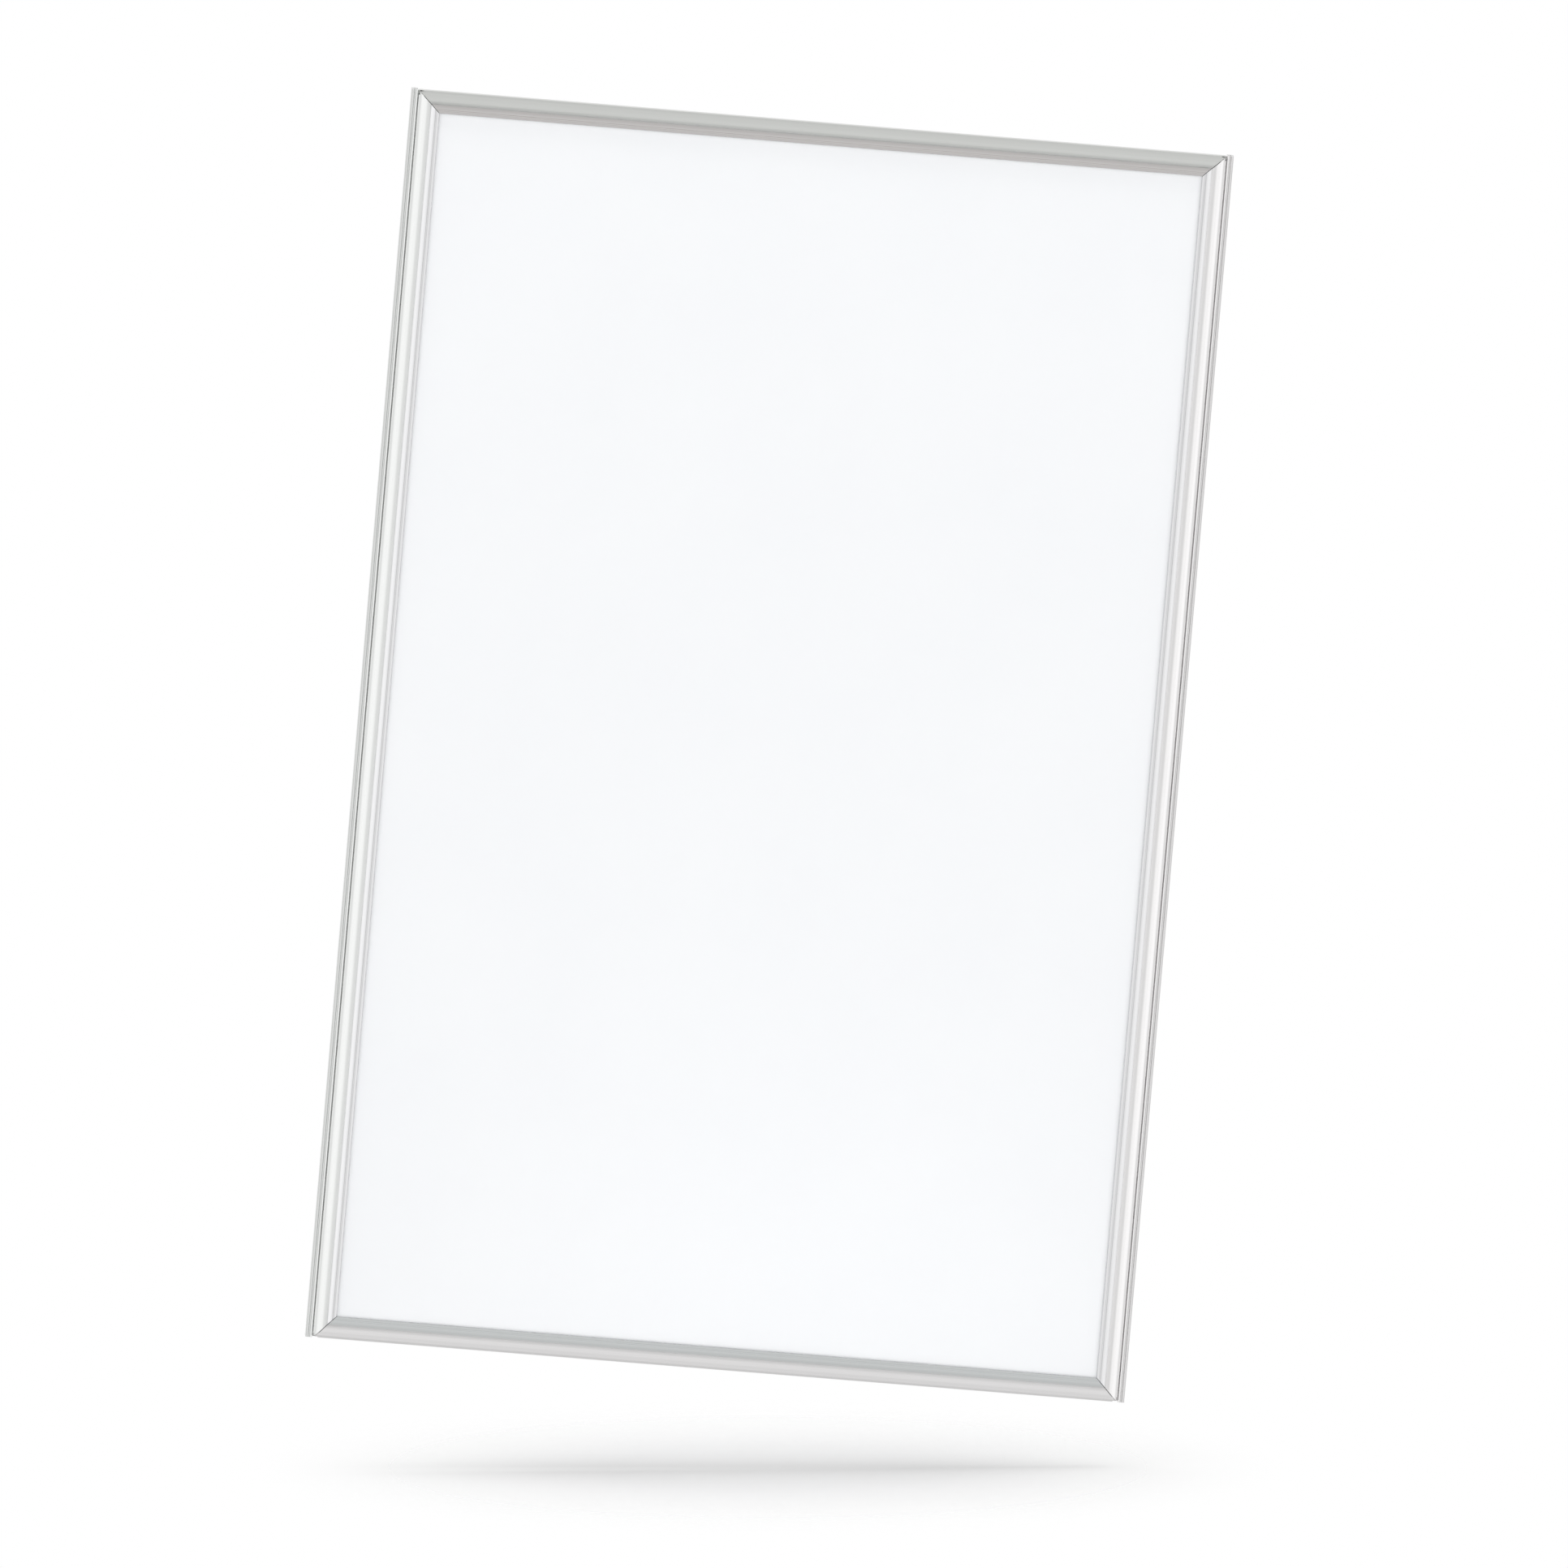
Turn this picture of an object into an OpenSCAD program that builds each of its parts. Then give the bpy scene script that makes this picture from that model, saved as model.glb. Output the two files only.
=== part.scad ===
// Front-opening snap frame for a show card.
// The rear face lies in the plane y = 0 against the wall and the front looks towards -y.
// A rail's section is drawn with x inwards from the flap's outer edge and y forwards from the wall.

/* [Poster] */
// Width of the card that the frame takes
poster_w = 355.6; // [200:0.1:600]
// Height of the card that the frame takes
poster_h = 558.8; // [300:0.1:900]
// Cover of each flap over the card's edge
overlap = 5; // [4.5:0.1:8]

/* [Stack between rail and flap] */
// Thickness of the rail's rear web
rear_t = 1.2; // [1:0.1:2]
// Height of the slot that takes the corner keys
slot_h = 1.7; // [1.5:0.1:2.4]
// Thickness of the ledge under the backing panel
ledge_t = 0.8; // [0.6:0.1:1.5]
// Thickness of the backing panel
panel_t = 2; // [1:0.1:3]
// Thickness of the clear cover sheet
sheet_t = 0.5; // [0.3:0.1:1]
// Free height between one layer and the next
stack_gap = 0.05; // [0.02:0.01:0.1]
// Clearance round the panel's and the sheet's edges
panel_gap = 0.3; // [0.2:0.05:0.6]

/* [Hinge] */
// Radius of the rail's hinge bead
bead_r = 1.1; // [0.9:0.05:1.4]
// Radial running clearance between bead and hook
hinge_gap = 0.05; // [0.03:0.01:0.1]
// Wall of the hook that grips the bead
hook_wall = 0.8; // [0.6:0.05:1]
// Thickness of the neck that carries the bead
neck_t = 0.6; // [0.5:0.05:0.8]
// Height of the hinge axis over the cover sheet
hinge_rise = 1.2; // [1:0.1:1.6]
// Opening angle of each flap
travel = 90; // [60:1:95]
// Angle left free between the hook's ends and the neck
hook_margin = 3; // [2:1:6]
// Clearance round the swinging hook
swing_gap = 0.15; // [0.1:0.05:0.3]

/* [Flap] */
// Wall of the domed skin
skin_t = 1; // [0.8:0.1:1.3]
// Radius of the dome
dome_r = 4.5; // [4.2:0.1:6]
// Lean of the dome's start inwards round the hook
dome_lean = 15; // [0:1:25]
// Distance of the crease from the flap's inner edge
crease_in = 3.85; // [3.4:0.05:4.4]
// Distance of the fine groove from the flap's inner edge
groove_in = 1.8; // [1.6:0.1:2]
// Width of the fine groove
groove_w = 0.8; // [0.4:0.05:0.9]
// Depth of the fine groove
groove_t = 0.25; // [0.1:0.05:0.3]
// Thickness of the lip at its pressing foot
lip_t = 0.9; // [0.7:0.05:1]
// Width of the pressing foot
foot_w = 1; // [0.7:0.1:1.5]
// Height of the pressing foot under the lip
foot_h = 0.22; // [0.1:0.02:0.3]
// Rounding of the lip's inner edge
lip_round = 0.3; // [0.2:0.05:0.3]
// Fall of the lip from the groove to its inner edge
lip_fall = 0.2; // [0:0.05:0.25]
// Gap between two flaps, square to the mitre
mitre_gap = 0.3; // [0.15:0.05:0.5]

/* [Lever] */
// Thickness of the lever under the hook
lever_t = 0.6; // [0.5:0.05:0.7]
// Gap between the lever and the neck
lever_gap = 0.45; // [0.3:0.05:0.55]
// Drop of the toe's centre under the hinge axis
toe_drop = 2.55; // [2.3:0.05:2.6]

/* [Base rail] */
// Clear width from the hinge axis to the locating wall
channel_w = 2.15; // [2:0.05:2.6]
// Thickness of the locating wall beside the panel
locate_t = 0.7; // [0.6:0.05:1]
// Height of the locating wall over the ledge
locate_h = 1.1; // [0.8:0.1:1.3]
// Thickness of the outer wall
wall_t = 1.2; // [1:0.05:1.5]
// Inset of the end rails' outer wall under the flap's edge
end_inset = 0.4; // [0:0.05:0.5]
// Reach of the side rails' outer wall under the strip's bead
side_reach = 0.3; // [0.2:0.05:0.6]
// Reach of the ledge under the panel
ledge_w = 8.5; // [8.4:0.1:12]
// Wall that closes the key slot
close_t = 0.7; // [0.6:0.05:1]
// Gap between two rails at a corner, square to the mitre
rail_joint = 0.06; // [0.02:0.02:0.2]

/* [Outer strip of the side rails] */
// Width of the strip outside the flap
strip_w = 3.2; // [3:0.1:5]
// Gap between the strip and the closed flap
strip_gap = 0.2; // [0.2:0.05:0.6]
// Radius of the strip's bead beside the flap
strip_bead_r = 0.6; // [0.4:0.05:0.7]
// Radius of the strip's rounded outer shoulder
shoulder_r = 0.7; // [0.5:0.05:1.1]
// Depth of the strip's bead below the flap's crest
bead_drop = 1.4; // [0.6:0.1:1.8]
// Depth of the shoulder below the strip's bead
shoulder_drop = 0.25; // [0.1:0.05:0.6]
// Depth of the strip's groove below the shoulder's top
recess = 0.65; // [0.3:0.05:0.8]

/* [Springs] */
// Thickness of the spring leaf
leaf_t = 0.3; // [0.2:0.02:0.35]
// Length of one spring
leaf_l = 45; // [20:1:60]
// Outer radius of the rolled crown
crown_r = 0.42; // [0.38:0.01:0.46]
// Gap between the crown and the toe's path
crown_gap = 0.1; // [0.05:0.01:0.2]
// Gap between a spring and the rail
leaf_gap = 0.06; // [0.04:0.01:0.1]

/* [Corner keys] */
// Length of a key's leg
key_leg = 30; // [24:1:60]
// Clearance between a key and its slot
key_gap = 0.1; // [0.05:0.01:0.2]
// Diameter of a set screw
screw_d = 3; // [2:0.1:4]
// Length of a set screw
screw_l = 2.2; // [2:0.1:2.6]
// Clearance round a set screw
screw_gap = 0.1; // [0.05:0.01:0.3]
// Distance of a set screw from its leg's end
screw_in = 6; // [4:0.5:9]
// Width across the flats of the screw's socket
socket_w = 1.5; // [0.9:0.1:1.6]
// Depth of the screw's socket
socket_h = 1.1; // [0.6:0.1:1.5]

/* [Wall holes] */
// Diameter of a wall screw's hole
hole_d = 4.4; // [3:0.1:5]
// Diameter of the opening for the screw's head
head_d = 7.2; // [6:0.1:7.4]
// Distance of the side rails' holes from the frame's ends
hole_in = 92; // [60:1:140]

/* [Hidden] */

$fn = 96;
// Overrun of every cut past the face that it opens
over = 1;

// Turn of each side about the y axis, from the left rail
LEFT = 0;
TOP = 90;
RIGHT = 180;
BOTTOM = 270;

// Heights over the wall
ledge_y = rear_t + slot_h + ledge_t;
panel_y = ledge_y + stack_gap;
sheet_y = panel_y + panel_t + stack_gap;
sheet_top = sheet_y + sheet_t;
hinge_y = sheet_top + hinge_rise;
foot_y = sheet_top + stack_gap;
band_y = foot_y + foot_h;
lip_y = foot_y + lip_t;

// Places across the rail, inwards from the flap's outer edge
hook_r = bead_r + hinge_gap + hook_wall;
hinge_x = hook_r;
locate_x = hinge_x + channel_w;
poster_x = locate_x + locate_t + panel_gap;
flap_w = poster_x + overlap;
ledge_x = locate_x + locate_t + ledge_w;
slot_x = locate_x + locate_t;
slot_w = ledge_w - close_t;
hole_x = slot_x + slot_w / 2;
dome_x = hinge_x + (dome_r - hook_r) * sin(dome_lean);
dome_y = hinge_y - (dome_r - hook_r) * cos(dome_lean);
crest_y = dome_y + dome_r;
// Place where the dome leaves the hook's circle
dome_start = hinge_x - hook_r * sin(dome_lean);
crease_x = flap_w - crease_in;
crease_y = dome_y + sqrt(pow(dome_r, 2) - pow(crease_x - dome_x, 2));
groove_x = flap_w - groove_in;
// Radius of the cove that ends level at the groove and starts at the crease
cove_r = (pow(groove_x - crease_x, 2) + pow(crease_y - lip_y, 2)) / (2 * (crease_y - lip_y));

// Half angle that the neck takes at the hook's inner wall
neck_angle = asin(neck_t / 2 / (bead_r + hinge_gap));
hook_start = -90 + neck_angle + hook_margin;
hook_end = 270 - neck_angle - hook_margin - travel;
// Angle past which the opening hook swings back over the mitre
tail_start = 180 - travel / 2 - hook_margin;

// Lever and spring
lever_x = hinge_x + neck_t / 2 + lever_gap + lever_t / 2;
toe_y = hinge_y - toe_drop;
toe_reach = norm([lever_x - hinge_x, toe_drop]) + lever_t / 2;
crown_x = locate_x - leaf_gap - crown_r;
crown_y = hinge_y - sqrt(pow(toe_reach + crown_gap + crown_r, 2) - pow(crown_x - hinge_x, 2));
// Width of the leaf's foot and share of a quarter turn by which the crown curls in
leaf_foot = 1.2;
curl_share = 0.3;

// Outer strip
strip_in = -strip_gap;
strip_bead_x = strip_in - strip_bead_r;
strip_bead_y = crest_y - bead_drop - strip_bead_r;
shoulder_x = -strip_w + shoulder_r;
shoulder_y = strip_bead_y + strip_bead_r - shoulder_drop - shoulder_r;

// Overall sizes
open_w = poster_w - 2 * overlap;
open_h = poster_h - 2 * overlap;
span_w = open_w + 2 * flap_w;
span_h = open_h + 2 * flap_w;

// Key and its screws
key_w = slot_w - 2 * key_gap;
key_t = slot_h - 2 * key_gap;
key_chamfer = key_w / 4;
// Lengths cut off the lever and off the hook's tail at a flap's ends, clear of the next flap
bare_end = hinge_x + toe_reach + mitre_gap + swing_gap;
tail_end = hinge_x + mitre_gap;

// Places of the springs as shares of the rail's length
side_spring_shares = [-0.3, 0, 0.3];
end_spring_shares = [-0.22, 0.22];

// Puts a rail's section, drawn for the left rail, on the side given by its turn
module on_side(turn, reach) {
    rotate([0, turn, 0])
        translate([-reach, 0, 0])
            rotate([180, 0, 0])
                children();
}

// Sector of a circle from angle a to angle b, less than a full turn
module sector(radius, a, b) {
    steps = 6;
    far = 2 * radius;
    polygon(concat([[0, 0]], [for (i = [0:steps]) far * [cos(a + (b - a) * i / steps), sin(a + (b - a) * i / steps)]]));
}

// Outline seen from the front of a rail that is mitred at both ends
module mitre_outline(length, gap, outside) {
    half = length / 2;
    inset = gap / 2 * sqrt(2);
    far = ledge_x + over;
    polygon([
        [-outside, -half],
        [-outside, half],
        [min(0, -inset), half],
        [far, half - far - inset],
        [far, -half + far + inset],
        [min(0, -inset), -half]
    ]);
}

// Extrudes a section along a rail and cuts both its ends to the mitre
module mitred(length, gap, outside) {
    intersection() {
        linear_extrude(height = length, center = true)
            children();
        rotate([90, 0, 0])
            linear_extrude(height = 2 * (crest_y + over), center = true)
                mitre_outline(length, gap, outside);
    }
}

// Hook that grips the bead, open towards the neck
module hook_section() {
    translate([hinge_x, hinge_y])
        intersection() {
            difference() {
                circle(hook_r);
                circle(bead_r + hinge_gap);
            }
            sector(hook_r, hook_start, hook_end);
        }
}

// Domed skin from the hook over the crest down to the crease
module dome_section() {
    difference() {
        intersection() {
            translate([dome_x, dome_y])
                difference() {
                    circle(dome_r);
                    circle(dome_r - skin_t);
                }
            translate([dome_start, band_y])
                square([crease_x - dome_start, crest_y - band_y]);
        }
        translate([hinge_x, hinge_y])
            circle(bead_r + hinge_gap);
    }
}

// Cove, fine groove and rounded lip between the crease and the opening
module lip_section() {
    round_x = flap_w - lip_round;
    round_y = lip_y - lip_fall - lip_round;
    fall_angle = atan(lip_fall / (groove_in - lip_round));
    groove_r = (pow(groove_w / 2, 2) + pow(groove_t, 2)) / (2 * groove_t);
    groove_middle = groove_x + groove_w / 2;
    difference() {
        polygon([
            [crease_x, band_y],
            [flap_w - foot_w, band_y],
            [flap_w - foot_w, foot_y],
            [flap_w, foot_y],
            for (step = [0:8])
                let (angle = (90 - fall_angle) * step / 8)
                    [round_x + lip_round * cos(angle), round_y + lip_round * sin(angle)],
            [groove_middle, lip_y - groove_w / 2 * tan(fall_angle)],
            [groove_middle, crease_y],
            [crease_x, crease_y]
        ]);
        translate([groove_x, lip_y + cove_r])
            circle(cove_r);
        translate([groove_middle, lip_y - groove_t + groove_r])
            circle(groove_r);
    }
}

// Lever with its round toe under the hook
module lever_section() {
    difference() {
        translate([lever_x - lever_t / 2, toe_y])
            square([lever_t, toe_drop - hook_r / 2]);
        translate([hinge_x, hinge_y])
            circle(hook_r - hook_wall / 2);
    }
    translate([lever_x, toe_y])
        circle(lever_t / 2);
}

module flap_section() {
    hook_section();
    dome_section();
    lip_section();
    lever_section();
}

// Flap with the lever, the hook's inner half and its tail cut back at the ends
module flap(length) {
    color("silver")
        difference() {
            mitred(length, mitre_gap, 0)
                flap_section();
            for (end = [-1, 1]) {
                translate([hinge_x, toe_y - lever_t, end * length / 2 - bare_end])
                    cube([toe_reach + swing_gap, hinge_y - toe_y + lever_t, 2 * bare_end]);
                translate([hinge_x, hinge_y, end * length / 2])
                    linear_extrude(height = 2 * tail_end, center = true)
                        sector(hook_r, tail_start, 180);
            }
        }
}

// Rear web, ledge and walls of the slot that holds the corner keys
module slot_section(inset) {
    translate([inset, 0])
        square([ledge_x - inset, rear_t]);
    translate([slot_x, ledge_y - ledge_t])
        square([ledge_w, ledge_t]);
    translate([ledge_x - close_t, 0])
        square([close_t, ledge_y]);
    translate([locate_x, 0])
        square([locate_t, ledge_y + locate_h]);
}

// Outer wall with the bead on its neck, hollowed round the swinging hook
module bead_section(inset) {
    difference() {
        union() {
            translate([inset, 0])
                square([wall_t - inset, hinge_y]);
            translate([inset, toe_y - lever_t])
                square([hinge_x + neck_t / 2 - inset, hinge_y - toe_y + lever_t]);
        }
        translate([hinge_x, hinge_y])
            circle(hook_r + swing_gap);
        translate([-over, hinge_y - swing_gap])
            square([hinge_x + 2 * over, hook_r]);
    }
    translate([hinge_x - neck_t / 2, toe_y])
        square([neck_t, hinge_y - toe_y]);
    translate([hinge_x, hinge_y])
        circle(bead_r);
}

// Outer strip beside the flap: rounded shoulder, groove and bead
module strip_section() {
    translate([-strip_w, 0])
        square([strip_w, rear_t]);
    translate([-strip_w, 0])
        square([wall_t, shoulder_y]);
    translate([shoulder_x, shoulder_y])
        circle(shoulder_r);
    recess_y = shoulder_y + shoulder_r - recess;
    translate([shoulder_x, recess_y - wall_t / 2])
        square([strip_bead_x - shoulder_x, wall_t / 2]);
    translate([strip_bead_x, strip_bead_y])
        circle(strip_bead_r);
    translate([strip_bead_x - strip_bead_r, recess_y - wall_t / 2])
        square([2 * strip_bead_r, strip_bead_y - recess_y + wall_t / 2]);
}

// Hole through the rear web for a wall screw, with room above it for the head
module wall_hole(along) {
    translate([hole_x, -over, along])
        rotate([-90, 0, 0])
            cylinder(d = hole_d, h = rear_t + 2 * over);
    translate([hole_x, rear_t, along])
        rotate([-90, 0, 0])
            cylinder(d = head_d, h = slot_h + ledge_t + over);
}

// Hole through the ledge over a set screw
module key_hole(along) {
    translate([hole_x, ledge_y - ledge_t - key_gap / 2, along])
        rotate([-90, 0, 0])
            cylinder(d = screw_d + 4 * screw_gap, h = ledge_t + over);
}

module base_rail(length, outside, holes) {
    inset = outside > 0 ? -strip_gap - side_reach : end_inset;
    screw_at = length / 2 - slot_x - key_gap - key_leg + screw_in;
    color("gainsboro")
        difference() {
            mitred(length, rail_joint, outside) {
                slot_section(inset);
                bead_section(inset);
                if (outside > 0)
                    strip_section();
            }
            for (at = holes)
                wall_hole(at);
            for (end = [-1, 1])
                key_hole(end * screw_at);
        }
}

// Spring leaf: foot on the web, upright by the locating wall and rolled crown by the toe's path
module spring_section() {
    outer_x = locate_x - leaf_gap;
    base_y = rear_t + leaf_gap;
    translate([outer_x - leaf_foot, base_y])
        square([leaf_foot - leaf_t, leaf_t]);
    translate([outer_x - leaf_t, base_y])
        square([leaf_t, crown_y - base_y]);
    translate([crown_x, crown_y])
        difference() {
            circle(crown_r);
            circle(crown_r - leaf_t);
            sector(crown_r, 180 + 90 * curl_share, 360);
        }
}

module spring(turn, reach, along) {
    color("dimgray")
        on_side(turn, reach)
            translate([0, 0, along])
                linear_extrude(height = leaf_l, center = true)
                    spring_section();
}

// Angle key seen from the front, its corner at the origin and its legs along +x and -y
module key_outline() {
    polygon([
        [key_chamfer, 0],
        [key_leg, 0],
        [key_leg, -key_w],
        [key_w, -key_w],
        [key_w, -key_leg],
        [0, -key_leg],
        [0, -key_chamfer]
    ]);
}

// Places of the two set screws in the top left key
function key_screws_at() = [
    [key_leg - screw_in, -key_w / 2],
    [key_w / 2, -key_leg + screw_in]
];

// Moves what is drawn at the top left key to the corner with the given signs
module at_corner(across, up) {
    mirror([across > 0 ? 1 : 0, 0, 0])
        mirror([0, 0, up < 0 ? 1 : 0])
            translate([-span_w / 2 + slot_x + key_gap, 0, span_h / 2 - slot_x - key_gap])
                children();
}

module corner_key(across, up) {
    color("darkgray")
        at_corner(across, up)
            translate([0, -rear_t - slot_h + key_gap, 0])
                rotate([90, 0, 0])
                    mirror([0, 0, 1])
                        linear_extrude(height = key_t)
                            difference() {
                                key_outline();
                                for (at = key_screws_at())
                                    translate(at)
                                        circle(d = screw_d + screw_gap);
                            }
}

module set_screw() {
    difference() {
        cylinder(d = screw_d, h = screw_l);
        translate([0, 0, screw_l - socket_h])
            cylinder(d = socket_w * 2 / sqrt(3), h = socket_h + over, $fn = 6);
    }
}

module key_screws() {
    color("dimgray")
        for (across = [-1, 1], up = [-1, 1])
            at_corner(across, up)
                for (at = key_screws_at())
                    translate([at[0], -rear_t - stack_gap, at[1]])
                        rotate([90, 0, 0])
                            set_screw();
}

// Flat sheet of the card's size at a height over the wall
module layer(height, thickness) {
    translate([-poster_w / 2, -height - thickness, -poster_h / 2])
        cube([poster_w, thickness, poster_h]);
}

module side_rail(turn) {
    hole_at = span_h / 2 - hole_in;
    on_side(turn, span_w / 2)
        base_rail(span_h, strip_w, [-hole_at, hole_at]);
}

module end_rail(turn) {
    on_side(turn, span_h / 2)
        base_rail(span_w, 0, [0]);
}

module side_spring(turn, index) {
    spring(turn, span_w / 2, side_spring_shares[index - 1] * span_h);
}

module end_spring(turn, index) {
    spring(turn, span_h / 2, end_spring_shares[index - 1] * span_w);
}

module side_flap(turn) {
    on_side(turn, span_w / 2)
        flap(span_h);
}

module end_flap(turn) {
    on_side(turn, span_h / 2)
        flap(span_w);
}

module backing_panel() {
    color("white")
        layer(panel_y, panel_t);
}

module cover_sheet() {
    color("aliceblue", 0.3)
        layer(sheet_y, sheet_t);
}

side_rail(LEFT);  // left_base_rail
side_rail(RIGHT);  // right_base_rail
end_rail(TOP);  // top_base_rail
end_rail(BOTTOM);  // bottom_base_rail
side_flap(LEFT);  // left_flap
side_flap(RIGHT);  // right_flap
end_flap(TOP);  // top_flap
end_flap(BOTTOM);  // bottom_flap
side_spring(LEFT, 1);  // left_spring_1
side_spring(LEFT, 2);  // left_spring_2
side_spring(LEFT, 3);  // left_spring_3
side_spring(RIGHT, 1);  // right_spring_1
side_spring(RIGHT, 2);  // right_spring_2
side_spring(RIGHT, 3);  // right_spring_3
end_spring(TOP, 1);  // top_spring_1
end_spring(TOP, 2);  // top_spring_2
end_spring(BOTTOM, 1);  // bottom_spring_1
end_spring(BOTTOM, 2);  // bottom_spring_2
corner_key(-1, 1);  // top_left_key
corner_key(1, 1);  // top_right_key
corner_key(-1, -1);  // bottom_left_key
corner_key(1, -1);  // bottom_right_key
key_screws();
backing_panel();
cover_sheet();
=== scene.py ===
import math

import bmesh
import bpy
from mathutils import Matrix, Vector


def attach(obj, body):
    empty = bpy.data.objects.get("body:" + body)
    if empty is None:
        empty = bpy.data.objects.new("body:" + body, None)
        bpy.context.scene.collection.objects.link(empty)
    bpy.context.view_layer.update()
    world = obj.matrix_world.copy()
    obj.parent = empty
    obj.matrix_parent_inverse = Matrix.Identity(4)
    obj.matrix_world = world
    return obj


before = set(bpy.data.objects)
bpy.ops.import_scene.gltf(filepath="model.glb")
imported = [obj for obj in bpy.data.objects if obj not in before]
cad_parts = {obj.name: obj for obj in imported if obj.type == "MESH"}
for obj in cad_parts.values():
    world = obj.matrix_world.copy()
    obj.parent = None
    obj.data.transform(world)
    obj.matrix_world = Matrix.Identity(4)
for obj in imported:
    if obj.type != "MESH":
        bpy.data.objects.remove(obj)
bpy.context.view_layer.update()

MM = 0.001

# Photograph: its side and the place of the frame's origin in it, in pixels, and its scale
PHOTO_SIZE = 1932
PHOTO_CENTRE = (946.7, 918.6)
PHOTO_PX_PER_M = 2726.2

# Camera: angles in degrees, sensor and lens in millimetres, clip as shares of its distance
CAMERA_AZIMUTH = -2.6
CAMERA_ELEVATION = 6.5
CAMERA_ROLL = 4.96
CAMERA_SENSOR = 36.0
CAMERA_LENS = 800.0
CAMERA_CLIP = (0.1, 3.0)

# Floor: tilt in degrees, then drop, side and radii of the fade in metres, then grey level
FLOOR_TILT = 6.5
FLOOR_DROP = 0.3290
FLOOR_SIZE = 0.8
FLOOR_FADE = (0.06, 0.24)
FLOOR_PALE = 0.70

# Lamp: height, width and depth in metres, and power in watts
LAMP_HEIGHT = 2.2
LAMP_SIZE = (3.2, 1.25)
LAMP_POWER = 60.0

# Part of a noise's range that a mottled colour runs through
MOTTLE = (0.3, 0.7)
# Lean of an anodised rail's tangent off its length, so that it is never square to the surface
TANGENT_LEAN = 0.03
# Brightness of the streaks along a rail
STREAKS = (0.975, 1.015)
# Share of a steel's colour in its darker clouds, and their extra roughness
STEEL_DARK = 0.72
STEEL_SPREAD = 0.14


def triple(value):
    """A grey colour, or the same scale along x, y and z."""
    return (value, value, value)


def principled(name, **sockets):
    """New material with its Principled shader's own sockets set."""
    made = bpy.data.materials.new(name)
    made.use_nodes = True
    shader = made.node_tree.nodes["Principled BSDF"]
    for socket, value in sockets.items():
        shader.inputs[socket.replace("_", " ")].default_value = value
    return made, made.node_tree, shader


def unshaded(name):
    """New material without its Principled shader."""
    made = bpy.data.materials.new(name)
    made.use_nodes = True
    tree = made.node_tree
    tree.nodes.remove(tree.nodes["Principled BSDF"])
    return made, tree


def add_node(tree, kind, **settings):
    node = tree.nodes.new(kind)
    for key, value in settings.items():
        setattr(node, key, value)
    return node


def feed(tree, shader, **outputs):
    """Links outputs to a shader's sockets."""
    for socket, output in outputs.items():
        tree.links.new(output, shader.inputs[socket.replace("_", " ")])


def object_coords(tree, scale):
    """The piece's own coordinates, in metres, stretched by scale along each axis."""
    coords = add_node(tree, "ShaderNodeTexCoord")
    mapping = add_node(tree, "ShaderNodeMapping")
    mapping.inputs["Scale"].default_value = scale
    tree.links.new(coords.outputs["Object"], mapping.inputs["Vector"])
    return mapping.outputs["Vector"]


def noise(tree, scale, detail=2.0, roughness=0.5):
    """Noise over the piece's own coordinates; scale is in cycles per metre along x, y and z."""
    node = add_node(tree, "ShaderNodeTexNoise")
    node.inputs["Scale"].default_value = 1.0
    node.inputs["Detail"].default_value = detail
    node.inputs["Roughness"].default_value = roughness
    tree.links.new(object_coords(tree, scale), node.inputs["Vector"])
    return node.outputs["Fac"]


def ramp(tree, factor, stops):
    """Colour ramp through stops of (position, linear colour)."""
    node = add_node(tree, "ShaderNodeValToRGB")
    elements = node.color_ramp.elements
    while len(elements) < len(stops):
        elements.new(0.5)
    for element, (position, colour) in zip(elements, stops):
        element.position = position
        element.color = (*colour, 1.0)
    tree.links.new(factor, node.inputs["Fac"])
    return node.outputs["Color"]


def mottled(tree, factor, dark, pale):
    """Colour from dark to pale by a noise."""
    return ramp(tree, factor, list(zip(MOTTLE, (dark, pale))))


def span(tree, factor, low, high):
    """Factor remapped from 0..1 to low..high."""
    node = add_node(tree, "ShaderNodeMapRange")
    node.inputs["To Min"].default_value = low
    node.inputs["To Max"].default_value = high
    tree.links.new(factor, node.inputs["Value"])
    return node.outputs["Result"]


def between(tree, value, low, high):
    """Value remapped from low..high to 0..1."""
    node = add_node(tree, "ShaderNodeMapRange")
    node.inputs["From Min"].default_value = low
    node.inputs["From Max"].default_value = high
    tree.links.new(value, node.inputs["Value"])
    return node.outputs["Result"]


def product(tree, first, second):
    """Two colours multiplied."""
    node = add_node(tree, "ShaderNodeVectorMath", operation="MULTIPLY")
    tree.links.new(first, node.inputs[0])
    tree.links.new(second, node.inputs[1])
    return node.outputs["Vector"]


def maths(tree, operation, *values):
    """Math node fed by numbers and outputs."""
    node = add_node(tree, "ShaderNodeMath", operation=operation)
    for socket, value in zip(node.inputs, values):
        if isinstance(value, (int, float)):
            socket.default_value = value
        else:
            tree.links.new(value, socket)
    return node.outputs["Value"]


def background(tree):
    """White background at strength 1."""
    node = add_node(tree, "ShaderNodeBackground")
    node.inputs["Color"].default_value = (*triple(1.0), 1.0)
    return node.outputs["Background"]


def choose(tree, factor, first, second):
    """First shader where factor is 0, second where it is 1."""
    node = add_node(tree, "ShaderNodeMixShader")
    tree.links.new(factor, node.inputs["Fac"])
    tree.links.new(first, node.inputs[1])
    tree.links.new(second, node.inputs[2])
    return node.outputs["Shader"]


def bump(tree, height, distance, strength, below=None):
    node = add_node(tree, "ShaderNodeBump")
    node.inputs["Distance"].default_value = distance
    node.inputs["Strength"].default_value = strength
    tree.links.new(height, node.inputs["Height"])
    if below is not None:
        tree.links.new(below, node.inputs["Normal"])
    return node.outputs["Normal"]


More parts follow.
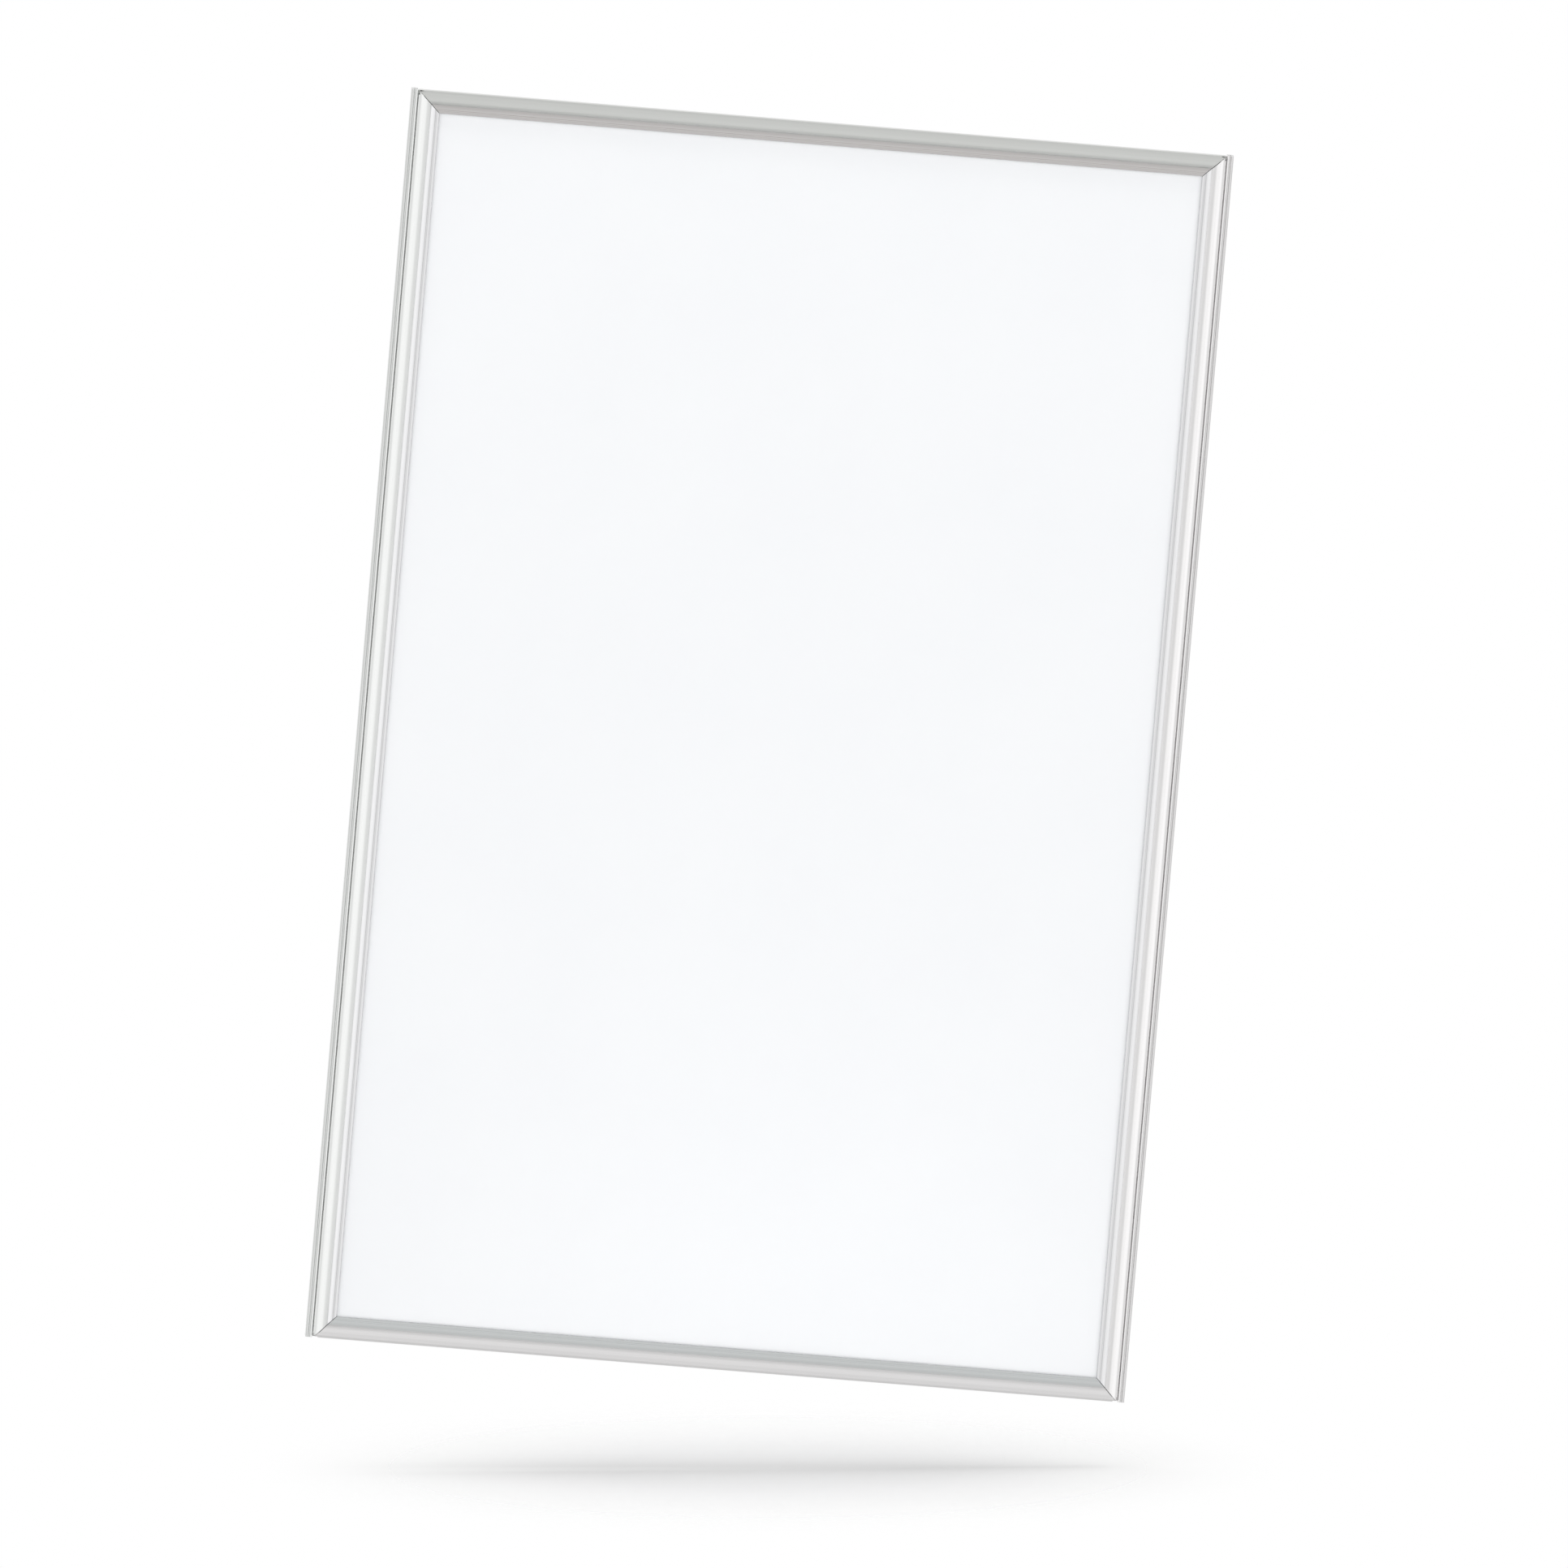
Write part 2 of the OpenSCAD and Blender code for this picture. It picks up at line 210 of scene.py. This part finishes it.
def lengthwise(along, fine, slow):
    """Noise scale that is fine across a rail and slow along it."""
    return tuple(slow if axis == along else fine for axis in "xyz")


# Distance from the frame's middle to the rails' inner edges, for rails along z and along x
INNER_EDGE = {"z": 0.1728, "x": 0.2744}
RAIL_WIDTH = 0.0133
LIP_WIDTH = 0.00385
LIP_BLUR = 0.0003
# Millimetres out from a rail's inner edge, and the share of its tone there on an upright (z) and on
# a level (x) rail: painted shade and painted highlights, lighter or darker by how light falls on each
# part
PAINTED_LIGHT_ACROSS = [
    (0.0, {"z": 0.88, "x": 0.97}),  # inner edge
    (1.6, {"z": 0.77, "x": 1.05}),  # groove
    (3.2, {"z": 1.03, "x": 0.95}),  # lip
    (4.2, {"z": 0.97, "x": 0.88}),  # crease
    (5.7, {"z": 0.90, "x": 1.05}),  # inner slope
    (7.3, {"z": 1.06, "x": 0.95}),  # crest
    (9.3, {"z": 0.96, "x": 0.98}),  # hook
    (10.0, {"z": 1.12, "x": 0.98}),  # hinge
    (11.0, {"z": 0.92, "x": 0.98}),  # strip's bead
    (12.3, {"z": 0.79, "x": 0.98}),  # outer strip
]
# Direction of each rail, and its anodising's colour on the dome and on the lip, with painted shade: the
# top rail and the lips of the level rails darker, faint tints of painted reflection, each side a
# separately shaded copy
RAIL_TONES_AND_SHADES = {
    "left": ("z", (0.88, 0.89, 0.88), (0.88, 0.88, 0.89)),
    "right": ("z", (0.89, 0.88, 0.88), (0.88, 0.88, 0.89)),
    "top": ("x", (0.74, 0.75, 0.73), (0.65, 0.63, 0.62)),
    "bottom": ("x", (0.88, 0.87, 0.87), (0.67, 0.69, 0.69)),
}


def anodised(name, along, tone, lip_tone_and_shade):
    """Satin anodised extrusion with die lines along the rail, painted shade on the lip inside the
    crease, and painted shade and highlights across the rail.
    """
    made, tree, shader = principled(name, Metallic=1.0, Anisotropic=0.85, Anisotropic_Rotation=0.25)
    length = add_node(tree, "ShaderNodeCombineXYZ")
    for axis in "XYZ":
        length.inputs[axis].default_value = 1.0 if axis == along.upper() else TANGENT_LEAN
    die_lines = noise(tree, lengthwise(along, fine=7000.0, slow=1.5), detail=3.0, roughness=0.65)
    streaks = noise(tree, lengthwise(along, fine=900.0, slow=1.2))
    etch = noise(tree, triple(16000.0), detail=1.0)
    place = add_node(tree, "ShaderNodeSeparateXYZ")
    tree.links.new(object_coords(tree, triple(1.0)), place.inputs["Vector"])
    off_middle = maths(tree, "ABSOLUTE", place.outputs["X" if along == "z" else "Z"])
    inside = INNER_EDGE[along]
    crease = inside + LIP_WIDTH
    across = between(tree, off_middle, inside, inside + RAIL_WIDTH)
    beyond_lip = between(tree, off_middle, crease - LIP_BLUR, crease + LIP_BLUR)
    shares = [(out * MM / RAIL_WIDTH, triple(share[along])) for out, share in PAINTED_LIGHT_ACROSS]
    # Painted shade: the lip inside the crease has a shade of its own, darker on the level rails
    lip_and_dome_shade = ramp(tree, beyond_lip, [(0.0, lip_tone_and_shade), (1.0, tone)])
    strength = mottled(tree, streaks, *map(triple, STREAKS))
    # Painted shade and painted highlights across the rail, laid over the lip and dome shade
    painted_light_and_shade = product(tree, lip_and_dome_shade, ramp(tree, across, shares))
    lines = bump(tree, die_lines, distance=0.00001, strength=0.15)
    feed(
        tree,
        shader,
        Tangent=length.outputs["Vector"],
        Base_Color=product(tree, painted_light_and_shade, strength),
        Roughness=span(tree, etch, low=0.22, high=0.28),
        Normal=bump(tree, etch, distance=0.000004, strength=0.15, below=lines),
    )
    return made


def rolled_steel(name, colour, roughness, grain):
    """Plated or cold-rolled steel with a faint cloudy tone."""
    made, tree, shader = principled(name, Metallic=1.0)
    cloud = noise(tree, triple(160.0), detail=4.0)
    rolling = noise(tree, grain)
    darker = tuple(STEEL_DARK * level for level in colour)
    feed(
        tree,
        shader,
        Base_Color=mottled(tree, cloud, darker, colour),
        Roughness=span(tree, cloud, roughness, roughness + STEEL_SPREAD),
        Normal=bump(tree, rolling, distance=0.00001, strength=0.4),
    )
    return made


def white_panel(name):
    """Matt white sheet plastic with a fine leathery grain."""
    made, tree, shader = principled(name, IOR=1.45)
    tone = noise(tree, triple(14.0), detail=3.0)
    grain = noise(tree, triple(2600.0))
    feed(
        tree,
        shader,
        Base_Color=mottled(tree, tone, dark=(0.935, 0.943, 0.957), pale=(0.948, 0.955, 0.966)),
        Roughness=span(tree, grain, low=0.5, high=0.65),
        Normal=bump(tree, grain, distance=0.00002, strength=0.15),
    )
    return made


def clear_sheet(name):
    """Clear plastic sheet with a soft anti-glare gloss on its outside."""
    made, tree = unshaded(name)
    through = add_node(tree, "ShaderNodeBsdfTransparent")
    through.inputs["Color"].default_value = (0.998, 0.999, 1.0, 1.0)
    gloss = add_node(tree, "ShaderNodeBsdfGlossy")
    fresnel = add_node(tree, "ShaderNodeFresnel")
    fresnel.inputs["IOR"].default_value = 1.4
    side = add_node(tree, "ShaderNodeNewGeometry")
    outside = maths(tree, "SUBTRACT", 1.0, side.outputs["Backfacing"])
    matting = noise(tree, triple(5200.0))
    feed(
        tree,
        gloss,
        Roughness=span(tree, matting, low=0.22, high=0.34),
        Normal=bump(tree, matting, distance=0.00001, strength=0.2),
    )
    share = maths(tree, "MULTIPLY", fresnel.outputs["Fac"], outside)
    surface = choose(tree, share, through.outputs["BSDF"], gloss.outputs["BSDF"])
    feed(tree, tree.nodes["Material Output"], Surface=surface)
    return made


def moulded_plug(name):
    """Grey moulded plastic with a fine spark-eroded grain."""
    made, tree, shader = principled(name, IOR=1.46)
    tone = noise(tree, triple(900.0), detail=3.0)
    grain = noise(tree, triple(9000.0))
    feed(
        tree,
        shader,
        Base_Color=mottled(tree, tone, dark=(0.36, 0.36, 0.355), pale=(0.42, 0.42, 0.415)),
        Roughness=span(tree, grain, low=0.45, high=0.6),
        Normal=bump(tree, grain, distance=0.00001, strength=0.3),
    )
    return made


def dress(names, made):
    """Gives CAD nodes their finished material."""
    for name in names:
        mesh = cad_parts[name].data
        mesh.materials.clear()
        mesh.materials.append(made)


def dress_all():
    # Each side gets its own copy of the anodising, shaded with painted shade of its own
    for side, (along, tone, lip_tone_and_shade) in RAIL_TONES_AND_SHADES.items():
        made = anodised("anodised_" + side, along, tone, lip_tone_and_shade)
        dress([side + "_flap", side + "_base_rail"], made)
    springs = [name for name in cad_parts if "_spring_" in name]
    keys = [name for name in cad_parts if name.endswith("_key")]
    steels = (
        (springs, "spring_steel", (0.42, 0.43, 0.46), 0.24, (700.0, 9000.0, 700.0)),
        (keys, "zinc_plate", (0.70, 0.71, 0.72), 0.3, triple(5200.0)),
        (["key_screws"], "black_oxide", (0.06, 0.06, 0.065), 0.4, triple(9000.0)),
    )
    for names, name, colour, roughness, grain in steels:
        dress(names, rolled_steel(name, colour, roughness, grain))
    dress(["backing_panel"], white_panel("matt_white_panel"))
    dress(["cover_sheet"], clear_sheet("clear_cover"))


# Hollow of the side strips, and the distance of its open ends from the frame's middle
HOLLOW_X = (0.1834, 0.1849)
HOLLOW_Y = (-0.006637, -0.0012)
STRIP_END = 0.2845
# Plugs that close the hollow's ends: play round the head, its depth under the strip's end, length,
# play round the shank's end, and rounding of the head
PLUG_FIT = 0.00003
PLUG_SUNK = 0.0001
PLUG_LENGTH = 0.006
PLUG_TAPER = 0.0002
PLUG_EDGE = 0.00018
PLUG_EDGE_STEPS = 3


def plug_outline(inset):
    """Corners of a plug's section, inset from the hollow's walls."""
    low_x, high_x = HOLLOW_X[0] + inset, HOLLOW_X[1] - inset
    low_y, high_y = HOLLOW_Y[0] + inset, HOLLOW_Y[1] - inset
    return [(low_x, low_y), (high_x, low_y), (high_x, high_y), (low_x, high_y)]


def plug_mesh(name, across, upright):
    """Plug with a rounded head and a tapered shank, for the strip's end on the given sides."""
    shape = bmesh.new()
    rings = []
    for inset, depth in ((PLUG_FIT, PLUG_SUNK), (PLUG_TAPER, PLUG_LENGTH)):
        z = upright * (STRIP_END - depth)
        rings.append([shape.verts.new((across * x, y, z)) for x, y in plug_outline(inset)])
    outer, inner = rings
    head = shape.faces.new(outer)
    shape.faces.new(inner[::-1])
    for here in range(len(outer)):
        after = (here + 1) % len(outer)
        shape.faces.new((outer[after], outer[here], inner[here], inner[after]))
    bmesh.ops.recalc_face_normals(shape, faces=shape.faces)
    bmesh.ops.bevel(
        shape,
        geom=head.edges,
        offset=PLUG_EDGE,
        segments=PLUG_EDGE_STEPS,
        profile=0.5,
        affect="EDGES",
    )
    mesh = bpy.data.meshes.new(name)
    shape.to_mesh(mesh)
    shape.free()
    return mesh


def make_plugs():
    """Push-in plugs in the ends of the side strips."""
    plastic = moulded_plug("moulded_grey")
    for side, across in (("left", -1.0), ("right", 1.0)):
        for level, upright in (("bottom", -1.0), ("top", 1.0)):
            mesh = plug_mesh(f"{side}_{level}_plug", across, upright)
            mesh.materials.append(plastic)
            plug = bpy.data.objects.new(mesh.name, mesh)
            bpy.context.scene.collection.objects.link(plug)
            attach(plug, "base")


def camera_axes():
    """Right, up and back directions of the rolled camera."""
    azimuth, elevation, roll = map(math.radians, (CAMERA_AZIMUTH, CAMERA_ELEVATION, CAMERA_ROLL))
    back = Vector((
        math.sin(azimuth) * math.cos(elevation),
        -math.cos(azimuth) * math.cos(elevation),
        math.sin(elevation),
    ))
    level = Vector((0.0, 0.0, 1.0)).cross(back).normalized()
    upright = back.cross(level)
    right = math.cos(roll) * level + math.sin(roll) * upright
    up = math.cos(roll) * upright - math.sin(roll) * level
    return right, up, back


def stage_axes():
    """Right, back and up directions of a floor that is level in the picture."""
    right, up, back = camera_axes()
    tilt = math.radians(FLOOR_TILT)
    normal = math.cos(tilt) * up + math.sin(tilt) * back
    return right, normal.cross(right), normal


def put(data, axes, place):
    """Adds an object to the scene at a place, turned so that its x, y and z follow the axes."""
    item = bpy.data.objects.new(data.name, data)
    bpy.context.scene.collection.objects.link(item)
    item.matrix_world = Matrix.Translation(place) @ Matrix(axes).transposed().to_4x4()
    return item


def make_camera():
    right, up, back = camera_axes()
    data = bpy.data.cameras.new("photo_camera")
    data.sensor_width = CAMERA_SENSOR
    data.lens = CAMERA_LENS
    distance = PHOTO_SIZE / PHOTO_PX_PER_M * CAMERA_LENS / CAMERA_SENSOR
    data.clip_start, data.clip_end = (share * distance for share in CAMERA_CLIP)
    across = (PHOTO_SIZE / 2 - PHOTO_CENTRE[0]) / PHOTO_PX_PER_M
    upwards = (PHOTO_CENTRE[1] - PHOTO_SIZE / 2) / PHOTO_PX_PER_M
    place = distance * back + across * right + upwards * up
    bpy.context.scene.camera = put(data, (right, up, back), place)


def floor_paint():
    """Pale paint that fades out round the frame; it shows nothing from below or in metal."""
    made, tree = unshaded("pale_floor")
    path = add_node(tree, "ShaderNodeLightPath")
    paint = add_node(tree, "ShaderNodeBsdfDiffuse")
    paint.inputs["Color"].default_value = (*triple(FLOOR_PALE), 1.0)
    clear = add_node(tree, "ShaderNodeBsdfTransparent")
    side = add_node(tree, "ShaderNodeNewGeometry")
    hidden = maths(tree, "MAXIMUM", side.outputs["Backfacing"], path.outputs["Is Glossy Ray"])
    reach = add_node(tree, "ShaderNodeVectorMath", operation="LENGTH")
    tree.links.new(object_coords(tree, triple(1.0)), reach.inputs[0])
    fade = between(tree, reach.outputs["Value"], *FLOOR_FADE)
    fade.node.interpolation_type = "SMOOTHSTEP"
    hidden = maths(tree, "MAXIMUM", hidden, fade)
    surface = choose(tree, hidden, paint.outputs["BSDF"], clear.outputs["BSDF"])
    feed(tree, tree.nodes["Material Output"], Surface=surface)
    return made


def make_floor():
    """Pale floor under the frame, level in the picture."""
    axes = stage_axes()
    half = FLOOR_SIZE / 2
    corners = [(-half, -half, 0), (half, -half, 0), (half, half, 0), (-half, half, 0)]
    mesh = bpy.data.meshes.new("floor")
    mesh.from_pydata(corners, [], [(0, 1, 2, 3)])
    mesh.materials.append(floor_paint())
    put(mesh, axes, -FLOOR_DROP * axes[2])


def make_lamp():
    """Wide soft box over the frame, for its shadow; metal mirrors the room alone."""
    axes = stage_axes()
    data = bpy.data.lights.new("overhead", "AREA")
    data.shape = "RECTANGLE"
    data.size, data.size_y = LAMP_SIZE
    data.energy = LAMP_POWER
    lamp = put(data, axes, LAMP_HEIGHT * axes[2])
    lamp.visible_camera = False
    lamp.visible_glossy = False


# Grey level of the room by the degrees turned from straight ahead, negative to the left: two soft
# boxes with a gap between them for the camera, and dimmer walls
ROOM_SIDEWAYS = [
    (-180, 1.00),
    (-90, 0.90),
    (-48, 0.79),
    (-27, 0.99),
    (-15, 1.13),
    (-6, 1.10),
    (-2, 0.80),
    (7, 0.80),
    (11, 1.11),
    (25, 1.13),
    (44, 0.98),
    (70, 0.75),
    (95, 0.88),
    (180, 1.00),
]
# Share of that level by the degrees over the horizon: a dimmer ceiling and floor
ROOM_UPWARDS = [
    (-90, 0.60),
    (-60, 0.79),
    (-30, 0.97),
    (-10, 1.00),
    (5, 1.00),
    (48, 0.92),
    (70, 0.79),
    (90, 0.67),
]
# Fill on matt surfaces from straight above and below, and from the horizon
FILL_ABOVE = 0.05
FILL_LEVEL = 1.66


def angle_ramp(tree, angle, stops):
    """Grey from stops of (degrees, level) over an angle in radians."""
    low, high = stops[0][0], stops[-1][0]
    turn = between(tree, angle, math.radians(low), math.radians(high))
    placed = [((degrees - low) / (high - low), triple(level)) for degrees, level in stops]
    return ramp(tree, turn, placed)


def make_world():
    """White to the eye, a fill on matt surfaces, and a grey room for metal to mirror."""
    world = bpy.data.worlds.new("studio")
    bpy.context.scene.world = world
    world.use_nodes = True
    tree = world.node_tree
    room = tree.nodes["Background"]
    coords = add_node(tree, "ShaderNodeTexCoord")
    split = add_node(tree, "ShaderNodeSeparateXYZ")
    tree.links.new(coords.outputs["Generated"], split.inputs["Vector"])
    x, y, z = (split.outputs[axis] for axis in "XYZ")
    sideways = maths(tree, "ARCTAN2", x, maths(tree, "MULTIPLY", y, -1.0))
    upwards = maths(tree, "ARCSINE", z)
    turned = angle_ramp(tree, sideways, ROOM_SIDEWAYS)
    raised = angle_ramp(tree, upwards, ROOM_UPWARDS)
    feed(tree, room, Color=product(tree, turned, raised))
    path = add_node(tree, "ShaderNodeLightPath")
    fill = background(tree)
    height = maths(tree, "ABSOLUTE", z)
    feed(tree, fill.node, Strength=span(tree, height, FILL_LEVEL, FILL_ABOVE))
    mirrored = choose(tree, path.outputs["Is Glossy Ray"], fill, room.outputs["Background"])
    straight = maths(tree, "MAXIMUM", path.outputs["Is Camera Ray"], path.outputs["Is Transmission Ray"])
    seen = choose(tree, straight, mirrored, background(tree))
    feed(tree, tree.nodes["World Output"], Surface=seen)


bpy.context.scene.view_settings.view_transform = "Standard"
make_camera()
make_floor()
make_lamp()
make_world()
dress_all()
make_plugs()
